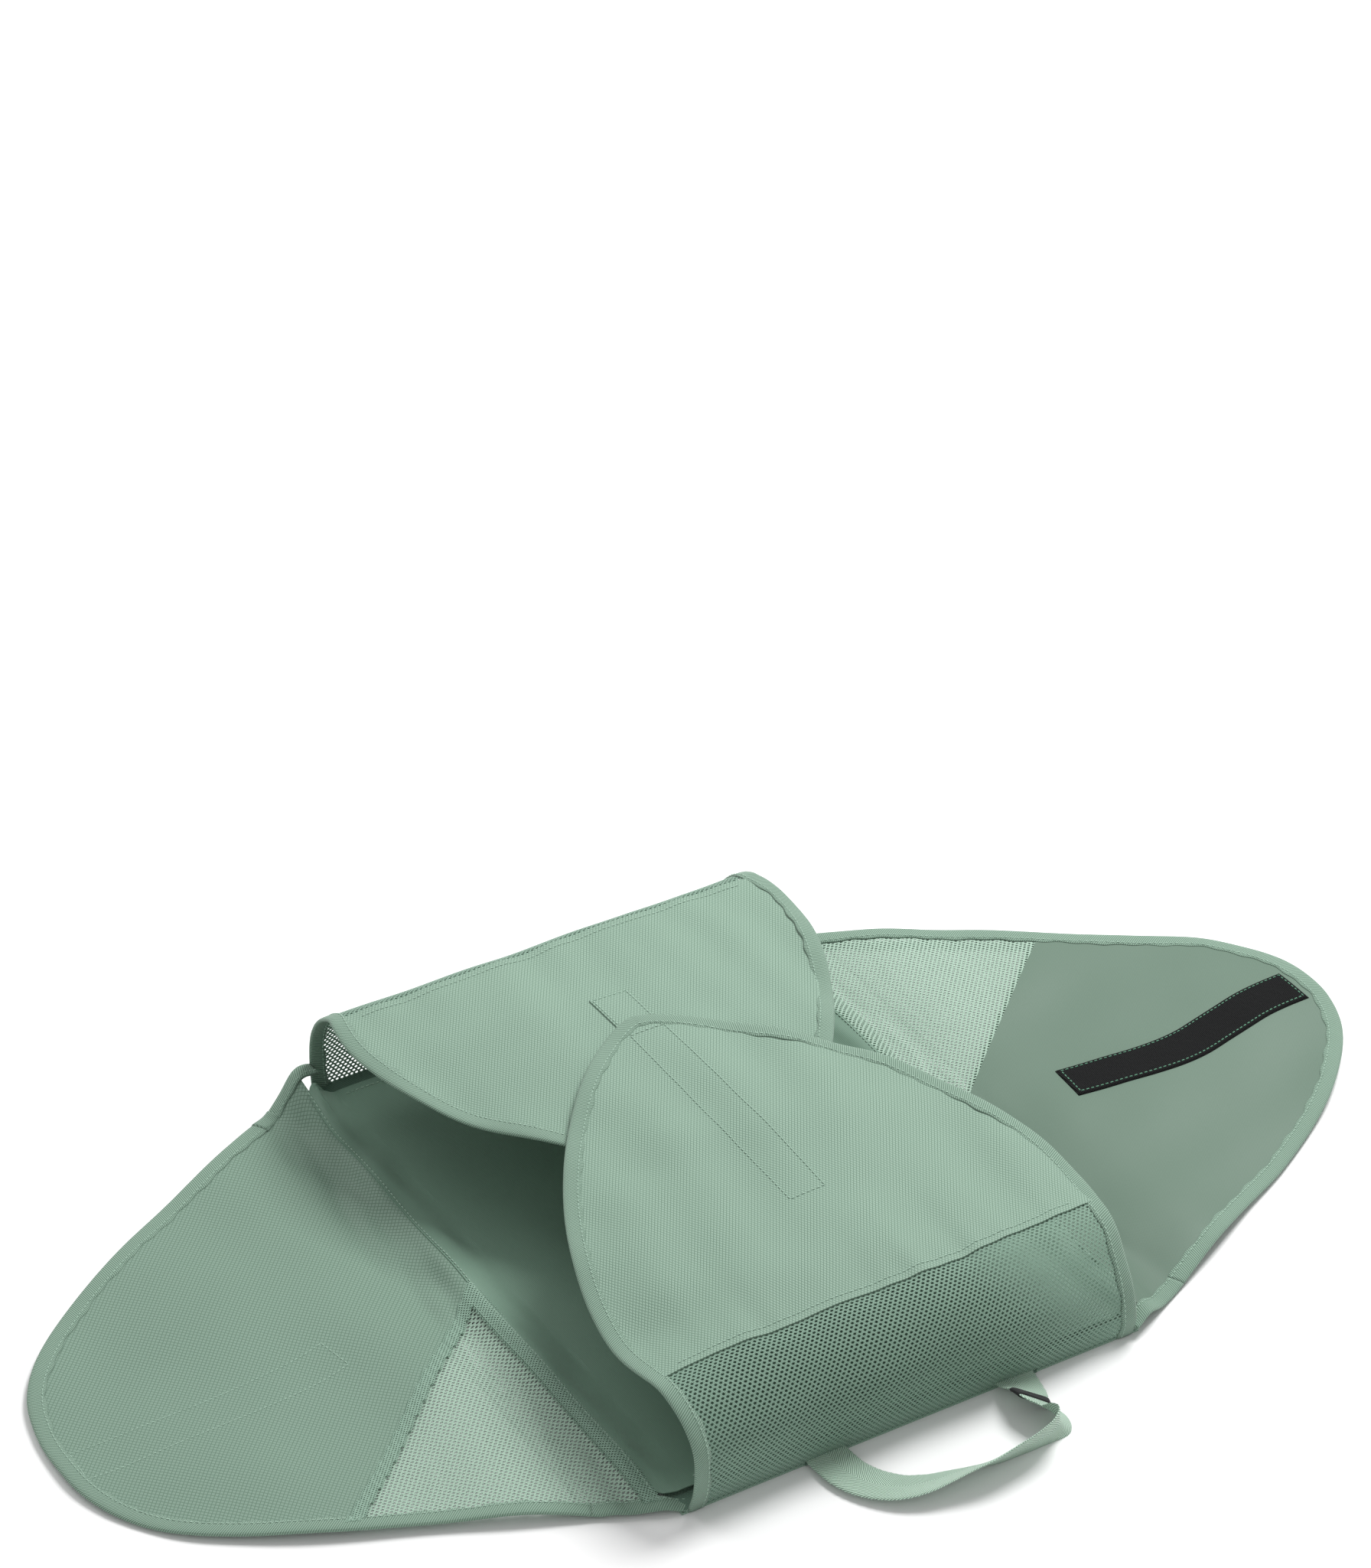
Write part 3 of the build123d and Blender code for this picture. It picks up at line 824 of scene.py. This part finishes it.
def wingStrip(name, wing, above, material, threadMaterial):
    surface = wingSurface(wing)
    line, at = smoothLine(wing["strip"], count=170)
    along = unit(np.gradient(line, axis=0))
    across = np.stack([-along[:, 1], along[:, 0]], axis=1)
    t = np.linspace(-1, 1, 28)[None, :, None]
    flat = line[:, None] + across[:, None] * t * strips["half"]
    rows, columns = flat.shape[:2]
    point, normal = surfaceFrame(surface, flat[..., 0], flat[..., 1])
    normal = normal * np.sign(normal[..., 2:3]) * (1 if above else -1)
    fuzz = np.random.default_rng(5).uniform(-1, 1, (rows, columns)) * strips["fuzz"]
    gap = np.minimum(strips["half"] * (1 - np.abs(t[..., 0])), np.minimum(at, at[-1] - at)[:, None])
    shoulder = np.minimum(1.0, gap / 0.0009) ** 0.5
    rise = 0.0005 + strips["thick"] * shoulder + fuzz * (shoulder > 0.9) * (gap > 0.0032)
    top = (point + normal * rise[..., None]).reshape(-1, 3)
    bottom = (point + normal * 0.0001).reshape(-1, 3)
    rim = [(0, c) for c in range(columns)] + [(r, columns - 1) for r in range(1, rows)]
    rim += [(rows - 1, c) for c in range(columns - 2, -1, -1)] + [(r, 0) for r in range(rows - 2, 0, -1)]
    rim = np.array([r * columns + c for r, c in rim])
    following = np.roll(rim, -1)
    wall = np.stack([rim, following, following + rows * columns, rim + rows * columns], axis=1)
    under = gridFaces(rows, columns)[:, ::-1]
    over = gridFaces(rows, columns, start=rows * columns)
    faces = np.concatenate([under, over, wall])
    uv = np.concatenate([flat.reshape(-1, 2), flat.reshape(-1, 2)])
    strip = makePiece(f"{name}_strip_tape", np.concatenate([top, bottom]), faces.tolist(), uv, material)
    fixNormals(strip)
    loop = stripLoop(line, at, strips["half"])
    path, up = surfaceFrame(surface, loop[:, 0], loop[:, 1])
    up = up * np.sign(up[:, 2:3])
    over, under = (0.0016, -0.0004) if above else (0.0003, -0.0016)
    thread = stitches(
        f"{name}_strip_stitches", [(path + up * over, up), (path + up * under, -up)], threadMaterial,
    )
    slot = "hook_tape" if above else "loop_tape"
    bendWing(strip, name, "top", slot, f"{name}_strip")
    bendWing(thread, name, "top", slot)


wingStrip("right", wings["right"], True, hookTape, threadDeep)
wingStrip("left", wings["left"], False, loopTape, threadGreen)
print("wing strips made")

# End walls and flaps
# Each end is one sheet from the foot of its wall over the fold to the flap's tip. Its middle line is
# given as (y, z), and its outline as a half width at each length along that line.
ends = {
    "front": {
        "sign": -1,
        "line": [
            (-0.2242, 0.0008), (-0.2292, 0.018), (-0.2288, 0.042), (-0.2185, 0.0605),
            (-0.2050, 0.0710), (-0.1920, 0.0752), (-0.1700, 0.0785), (-0.1300, 0.0820),
            (-0.0700, 0.0852), (-0.0050, 0.0864), (0.0450, 0.0856), (0.0950, 0.0832),
        ],
        "bezier": (0.1535, 0.1770, 0.1391, 0.0359),
        "length": 0.2866,
        "dome": (0.0120, 0.0060),
        "strip": (-0.106, 0.0775, 0.0015),
        "seed": 21,
    },
    "back": {
        "sign": 1,
        "line": [
            (0.2242, 0.0008), (0.2262, 0.021), (0.2235, 0.042), (0.2165, 0.0570),
            (0.2078, 0.0672), (0.1990, 0.0738), (0.1925, 0.0768), (0.1800, 0.0784),
            (0.1500, 0.0790), (0.1000, 0.0792), (0.0400, 0.0788), (-0.0600, 0.0780),
        ],
        "bezier": (0.1520, 0.1800, 0.0931, 0.0571),
        "length": 0.2520,
        "dome": (0.0055, 0.0060),
        "strip": (-0.030, 0.1255, 0.0035),
        "seed": 34,
    },
}


def endSurface(end):
    # Sheet over the end: the middle line pulled into a dome across, puckered by its seam, with soft dents.
    curve, at = smoothLine(end["line"])
    sign = end["sign"]
    beyond = at > at[-1] * 0.15
    foldRow = int(np.argmin(np.abs(np.abs(curve[:, 0]) - flapFoldY) + (~beyond) + (curve[:, 0] * sign < 0)))
    end["foldAt"] = float(at[foldRow])

    def surface(x, s):
        x, s = np.broadcast_arrays(np.asarray(x, float), np.asarray(s, float))
        y = np.interp(s, at, curve[:, 0])
        z = np.interp(s, at, curve[:, 1])
        past = np.maximum(s - at[-1], 0.0)
        y = y - sign * past
        share = x / 0.150
        left, right = np.clip(-share, 0, None) ** 2, np.clip(share, 0, None) ** 2
        onFlap = ease((s - end["foldAt"] + 0.030) / 0.075)
        onWall = ease(s / 0.05)
        z = z - (end["dome"][0] * left + end["dome"][1] * right) * onFlap
        if sign < 0:
            # the wall bellies out at its left end and leans in at its right end
            near = ease(s / 0.06) * (1 - ease((s - end["foldAt"]) / 0.12))
            high = ease((s - end["foldAt"] + 0.045) / 0.04)
            y = y + right * near * 0.011 + left * near * (0.0025 * high - 0.004 * (1 - high))
            z = z - right * near * 0.004
        d = s - end["foldAt"]
        pucker = np.exp(-np.clip(d, 0, None) / 0.022) * ease((d + 0.006) / 0.012)
        z = z + pucker * ripple(x, 0.15 * s, end["seed"], 0.022, 0.0007)
        z = z + onFlap * ripple(x, 0.22 * s, end["seed"] + 4, 0.046, 0.0010)
        broad = ripple(x, s, end["seed"] + 1, 0.12, 0.0014)
        small = ripple(x, s, end["seed"] + 2, 0.05, 0.00035)
        z = z + onFlap * (broad + small)
        y = y + sign * onWall * (1 - onFlap) * ripple(x, s, end["seed"] + 3, 0.09, 0.0009)
        return np.stack([x, y, z], axis=-1)
    return surface


def endOutline(end):
    # Half width against length: the wall's edge narrows to the fold, then a Bezier curve runs to the tip.
    half, bulge, bulgeAt, shoulder = end["bezier"]
    t = np.linspace(0, 1, 90)[:, None]
    corners = np.array([[half, 0], [bulge, bulgeAt], [shoulder, end["length"]], [0, end["length"]]])
    curve = (1 - t) ** 3 * corners[0] + 3 * (1 - t) ** 2 * t * corners[1]
    curve = curve + 3 * (1 - t) * t**2 * corners[2] + t**3 * corners[3]
    curve[:, 1] += end["foldAt"]
    wall = np.linspace(0, end["foldAt"], 30, endpoint=False)
    wallHalf = 0.1508 + (half - 0.1508) * ease(wall / end["foldAt"] * 2 - 1)
    outline = np.concatenate([np.stack([wallHalf, wall], axis=1), curve])
    at = lengths(outline)
    even = resample(outline, at, np.linspace(0, at[-1], 260))
    for _ in range(6):
        even[1:-1] = (even[:-2] + 2 * even[1:-1] + even[2:]) / 4
    return even


def bendEnd(piece, nodes=()):
    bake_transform(piece)
    if nodes:
        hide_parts(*nodes)


def makeEnd(name, end):
    surface = endSurface(end)
    outline = endOutline(end)
    sign = end["sign"]
    seamAt = end["foldAt"] + 0.0025
    rowsAt = outline[:, 1]
    order = np.argsort(rowsAt)

    def halfAt(s):
        return np.interp(s, rowsAt[order], outline[order, 0])

    # net of the wall
    def inside(x, s):
        return (s > 0) & (s < seamAt + 0.001) & (np.abs(x) < halfAt(s) - 0.004)

    wallNet = netPiece(
        f"{name}_wall_net", surface, inside, ((-0.150, 0.150), (0.0, seamAt + 0.003)), wallNetCloth,
    )
    bendEnd(wallNet, [f"{name}_wall_mesh"])

    # cloth of the flap
    tip = end["foldAt"] + end["length"]
    s = seamAt + (tip - 0.0019 - seamAt) * np.sin(np.linspace(0, math.pi / 2, 150))
    half = np.maximum(halfAt(s) - 0.0018, 0.004)
    t = np.linspace(-1, 1, 130)
    x = half[:, None] * t[None]
    sGrid = np.broadcast_to(s[:, None], x.shape)
    point, normal = surfaceFrame(surface, x, sGrid)
    normal = normal * np.sign(normal[..., 2:3].mean())
    edge = 0.0006 * np.exp(-(sGrid - seamAt) / 0.004)
    flap = makePiece(
        f"{name}_flap_cloth", point + normal * (0.0003 + edge)[..., None], gridFaces(*x.shape).tolist(),
        np.stack([x, sGrid], axis=-1), shellCloth, thickness=0.0008,
    )
    bendEnd(flap, [f"{name}_flap_panel"])

    # turned-in edge of the cloth along the mesh, a double thickness under the flap
    hemS = np.linspace(seamAt - 0.0004, seamAt + 0.0075, 8)
    hemX = np.linspace(-1, 1, 130)[None] * (halfAt(hemS) - 0.006)[:, None]
    hemGrid = np.broadcast_to(hemS[:, None], hemX.shape)
    point, normal = surfaceFrame(surface, hemX, hemGrid)
    normal = normal * np.sign(normal[..., 2:3].mean())
    hem = makePiece(f"{name}_flap_turned_edge", point - normal * 0.0007, gridFaces(*hemX.shape).tolist(),
                    np.stack([hemX, hemGrid], axis=-1), shellCloth, thickness=0.0009)
    bendEnd(hem, [f"{name}_flap_hem"])
    hemRail = surfaceFrame(surface, np.linspace(-0.134, 0.134, 200), np.full(200, seamAt + 0.0052))
    up = hemRail[1] * np.sign(hemRail[1][:, 2:3].mean())
    hemThread = stitches(
        f"{name}_flap_hem_stitches", [(hemRail[0] + up * 0.0009, up)], threadGreen, pitch=0.0032,
    )
    bendEnd(hemThread)

    # tape up one edge of the wall, round the flap and down the other edge
    both = np.concatenate([outline * [-1, 1], outline[::-1][1:]])
    railAt = lengths(both)
    both = resample(both, railAt, np.linspace(0, railAt[-1], 420))
    rail = railOn(surface, both[:, 0], both[:, 1], inward=1.0)
    flip = np.sign((rail[2][:, 2]).sum())
    up = rail[2] * flip
    inward = rail[1]
    middle = np.array([0.0, rail[0][:, 1].mean(), rail[0][:, 2].mean()])
    inward = inward * np.sign(((middle - rail[0]) * inward).sum(axis=1).sum())
    edgeTape, thread = tapeEdge(f"{name}_edge_tape", (rail[0], inward, up))
    bendEnd(edgeTape, [f"{name}_wall_binding", f"{name}_flap_binding"])
    bendEnd(thread)
    return surface


surfaces = {name: makeEnd(name, end) for name, end in ends.items()}
print("walls and flaps made")


def flapStrip(name, material, above):
    # Strip of tape on a flap, with the rectangle of stitches that holds it, through both faces.
    end, surface = ends[name], surfaces[name]
    sign = end["sign"]
    yStart, yEnd, middle = end["strip"]
    low, high = sorted(end["foldAt"] + flapFoldY - sign * y for y in (yStart, yEnd))
    half, rows, columns = 0.0132, 90, 16
    s = np.linspace(low, high, rows)[:, None]
    t = np.linspace(-1, 1, columns)[None]
    x = middle + half * t + 0 * s
    sGrid = np.broadcast_to(s, x.shape)
    point, normal = surfaceFrame(surface, x, sGrid)
    normal = normal * np.sign(normal[..., 2:3].mean())
    lift = 0.0012 if above else -0.0009
    strip = makePiece(f"{name}_flap_strip_tape", point + normal * lift, gridFaces(rows, columns).tolist(),
                      np.stack([x, sGrid], axis=-1), material, thickness=0.0009)
    inner = 0.88
    loopS = np.concatenate([np.linspace(low + 0.0015, high - 0.001, 60), np.full(12, high - 0.001),
                            np.linspace(high - 0.001, low + 0.0015, 60), np.full(12, low + 0.0015)])
    loopX = middle + half * np.concatenate([np.full(60, -inner), np.linspace(-inner, inner, 12),
                                            np.full(60, inner), np.linspace(inner, -inner, 12)])
    path, up = surfaceFrame(surface, loopX, loopS)
    up = up * np.sign(up[:, 2:3].mean())
    topRise, lowRise = (0.0017, -0.0002) if above else (0.0008, -0.0014)
    thread = stitches(
        f"{name}_flap_strip_stitches", [(path + up * topRise, up), (path + up * lowRise, -up)],
        threadGreen,
    )
    for piece in (strip, thread):
        bendEnd(piece)
    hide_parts(f"{name}_flap_strip")


flapStrip("front", hookTape, False)
flapStrip("back", shellCloth, True)
print("flap strips made")

# Base
lining = {"halfX": 0.1390, "halfY": 0.2120, "floor": 0.0057, "corner": 0.014, "slopeTo": 0.1642}


def liningFloor(x, y):
    return lining["floor"] + ripple(x, y, 61, 0.09, 0.0005)


def makeLining():
    # Lining: flat over the board, with a line of stitches near each end.
    y = lining["halfY"] * np.linspace(-1, 1, 150)
    x = lining["halfX"] * np.linspace(-1, 1, 110)
    x, y = np.meshgrid(x, y)
    floor = makePiece(
        "base_lining_cloth", np.stack([x, y, liningFloor(x, y)], axis=-1), gridFaces(*x.shape).tolist(),
        np.stack([x, y], axis=-1), liningCloth, thickness=0.0008,
    )
    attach(floor, "base")
    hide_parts("base_lining")
    rails = []
    for sign in (-1, 1):
        xs = np.linspace(-0.137, 0.137, 120)
        ys = np.full(120, sign * (lining["halfY"] - 0.006))
        path = np.stack([xs, ys, liningFloor(xs, ys) + 0.0005], axis=1)
        rails.append((path, np.tile([0.0, 0.0, 1.0], (120, 1))))
    thread = stitches("base_lining_stitches", rails, threadGreen)
    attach(thread, "base")


def liningSlope(name, wing):
    # Side of the lining: z runs from the floor up to the wing's crest along a smooth step, with soft folds
    side, surface = wing["side"], wingSurface(wing)
    w = lining["halfY"] * np.linspace(-1, 1, 170)
    short = np.maximum(np.abs(w) - (lining["halfY"] - lining["corner"]), 0.0)
    end = lining["slopeTo"] - (lining["corner"] - np.sqrt(np.maximum(lining["corner"] ** 2 - short**2, 0.0)))
    t = np.linspace(0, 1, 34)
    away = lining["halfX"] + (end - lining["halfX"])[:, None] * t[None]
    wGrid = np.broadcast_to(w[:, None], away.shape)
    x, y = side * away, side * wGrid
    crest = surface(away - sideFoldX, wGrid)[..., 2] + 0.0006
    top = surface(np.full_like(away, fold["crestAt"]), wGrid)[..., 2] + 0.0006
    share = ease((away - lining["halfX"] - 0.002) / (lining["slopeTo"] - lining["halfX"] - 0.002)) ** 0.9
    low = liningFloor(x, y)
    z = np.maximum(low + (top - low) * share, np.where(away > sideFoldX, crest, 0))
    z = z + np.sin(t * np.pi)[None] * ripple(x * 1.5, y * 0.6, 71, 0.030, 0.0007)
    slope = makePiece(f"{name}_lining_slope", np.stack([x, y, z], axis=-1), gridFaces(*x.shape).tolist(),
                      np.stack([x, y], axis=-1), liningCloth, thickness=0.0008)
    bendWing(slope, name, "side", "lining")
    point, normal = surfaceFrame(
        surface, np.full(180, fold["crestAt"] - 0.001), np.linspace(-0.205, 0.205, 180),
    )
    up = normal * np.sign(normal[:, 2:3])
    thread = stitches(f"{name}_lining_slope_stitches", [(point + up * 0.0013, up)], threadGreen)
    bendWing(thread, name, "side", "lining")


makeLining()
for name, wing in wings.items():
    liningSlope(name, wing)
nodeCloths = {
    "base_panel": underCloth,
    "folding_board": boardSheet,
    "front_seam_tape": seamCloth,
    "back_seam_tape": seamCloth,
    "handle_anchors": seamCloth,
}
for node, material in nodeCloths.items():
    slots = frame["nodes"][node].material_slots
    for slot in slots:
        slot.material = material
    if not slots:
        frame["nodes"][node].data.materials.append(material)
print("base made")

# Handle
# Webbing stations: middle, and the direction from the inner edge of the loop to its outer edge
handle = {
    "width": 0.0265,
    "thick": 0.0015,
    "stations": [
        ((-0.0605, -0.2225, 0.0030), (-1.00, 0.00, 0.00)),
        ((-0.0603, -0.2330, 0.0032), (-1.00, -0.02, 0.00)),
        ((-0.0584, -0.2470, 0.0034), (-0.99, -0.10, 0.00)),
        ((-0.0520, -0.2600, 0.0034), (-0.93, -0.33, 0.03)),
        ((-0.0415, -0.2710, 0.0042), (-0.83, -0.53, 0.12)),
        ((-0.0290, -0.2772, 0.0056), (-0.68, -0.69, 0.25)),
        ((-0.0143, -0.2808, 0.0074), (-0.50, -0.74, 0.44)),
        ((0.0000, -0.2838, 0.0094), (-0.46, -0.66, 0.59)),
        ((0.0150, -0.2858, 0.0102), (-0.53, -0.52, 0.67)),
        ((0.0310, -0.2852, 0.0106), (-0.58, -0.44, 0.69)),
        ((0.0450, -0.2838, 0.0108), (-0.58, -0.38, 0.72)),
        ((0.0555, -0.2815, 0.0110), (-0.60, -0.36, 0.72)),
        ((0.0625, -0.2775, 0.0108), (-0.62, -0.40, 0.68)),
        ((0.0652, -0.2715, 0.0106), (-0.64, -0.42, 0.65)),
        ((0.0645, -0.2640, 0.0104), (-0.68, -0.32, 0.66)),
        ((0.0620, -0.2550, 0.0100), (-0.78, -0.08, 0.62)),
        ((0.0628, -0.2465, 0.0084), (-0.85, -0.02, 0.52)),
        ((0.0652, -0.2365, 0.0052), (-0.96, -0.02, 0.27)),
        ((0.0670, -0.2225, 0.0030), (-1.00, 0.00, 0.00)),
    ],
    "tag": (-0.2540, -0.2472),
}


def makeHandle():
    # Ribbon: middle line and edge direction pass smoothly through the stations, with rounded long edges.
    middle = np.array([m for m, _ in handle["stations"]])
    edge = np.array([e for _, e in handle["stations"]])
    both, _ = smoothLine(np.concatenate([middle, edge * 0.02], axis=1), count=420)
    path, side = both[:, :3], unit(both[:, 3:])
    along = unit(np.gradient(path, axis=0))
    side = unit(side - along * (side * along).sum(axis=1, keepdims=True))
    up = np.cross(along, side)
    t = np.linspace(-1, 1, 21)
    edgeRound = np.sqrt(np.clip(1 - np.abs(t) ** 8, 0.02, 1))
    over = np.stack([t * handle["width"] / 2, edgeRound * handle["thick"] / 2], axis=1)
    profile = np.concatenate([over, (over * [1, -1])[::-1]])
    wave = 1 + 0.012 * np.sin(lengths(path) * 2 * np.pi / 0.0042)
    ribbon = sweep("handle_ribbon", (path, side * wave[:, None], up), profile, webbingCloth)
    flat = np.concatenate([t, t[::-1]]) * handle["width"] / 2
    layer = ribbon.data.uv_layers["cloth"]
    corner = np.zeros(len(ribbon.data.loops), np.int32)
    ribbon.data.loops.foreach_get("vertex_index", corner)
    at = np.repeat(lengths(path), len(flat))
    uv = np.stack([np.tile(flat, len(path)), at], axis=1)
    layer.data.foreach_set("uv", uv[corner].astype(np.float32).ravel())
    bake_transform(ribbon)
    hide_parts("handle_webbing")
    # sleeve: a slightly larger closed band round the ribbon, open-ended like a label
    low, high = handle["tag"]
    band = (path[:, 1] > low) & (path[:, 1] < high) & (path[:, 0] > 0)
    grown = profile * [1.06, 2.2]
    sleeve = sweep("handle_sleeve", (path[band], side[band], up[band]), grown, tagCloth)
    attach(sleeve, "handle")
    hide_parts("handle_tag")


makeHandle()
print("handle made")

# Floor
floorMesh = bpy.data.meshes.new("floor")
floorMesh.from_pydata(
    [(-6, -6, -0.0002), (6, -6, -0.0002), (6, 6, -0.0002), (-6, 6, -0.0002)], [], [(0, 1, 2, 3)],
)
floor = bpy.data.objects.new("floor", floorMesh)
bpy.context.scene.collection.objects.link(floor)
paper = bpy.data.materials.new("paper")
paper.use_nodes = True
paper.node_tree.nodes["Principled BSDF"].inputs["Base Color"].default_value = (0.94, 0.94, 0.94, 1)
paper.node_tree.nodes["Principled BSDF"].inputs["Roughness"].default_value = 0.9
floorMesh.materials.append(paper)
